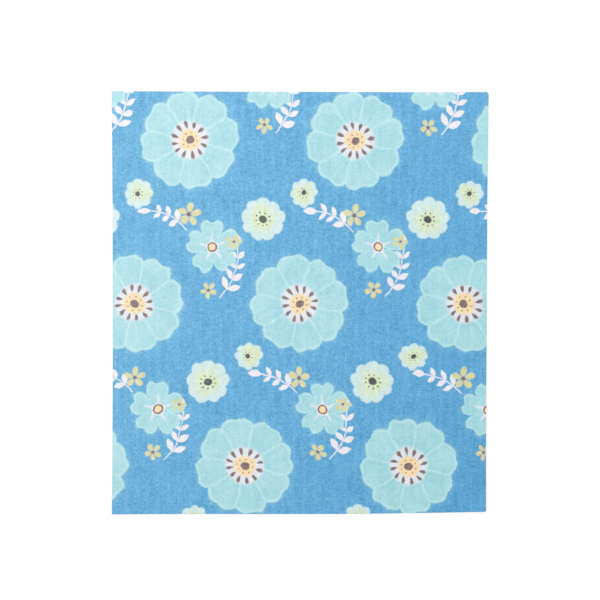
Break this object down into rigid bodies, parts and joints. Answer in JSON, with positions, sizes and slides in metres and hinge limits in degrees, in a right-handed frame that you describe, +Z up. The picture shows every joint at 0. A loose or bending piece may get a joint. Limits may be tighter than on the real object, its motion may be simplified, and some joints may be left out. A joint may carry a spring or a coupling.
{
  "type": "dishcloth",
  "caption": "Flat rectangular sheet of cellulose sponge cloth with embossed ribs and a printed face, for washing up and wiping.",
  "frame": {"origin": "under the middle of the sheet, on the surface that it lies on", "axes": "+Z up through the printed face, +Y along the ribs and the long side, +X across the ribs along the short side"},
  "size_m": [0.1774, 0.2, 0.0048],
  "materials": {
    "printed_sponge_cloth": "matte"
  },
  "bodies": {
    "root": {"dishcloth": "printed_sponge_cloth"}
  },
  "joints": []
}
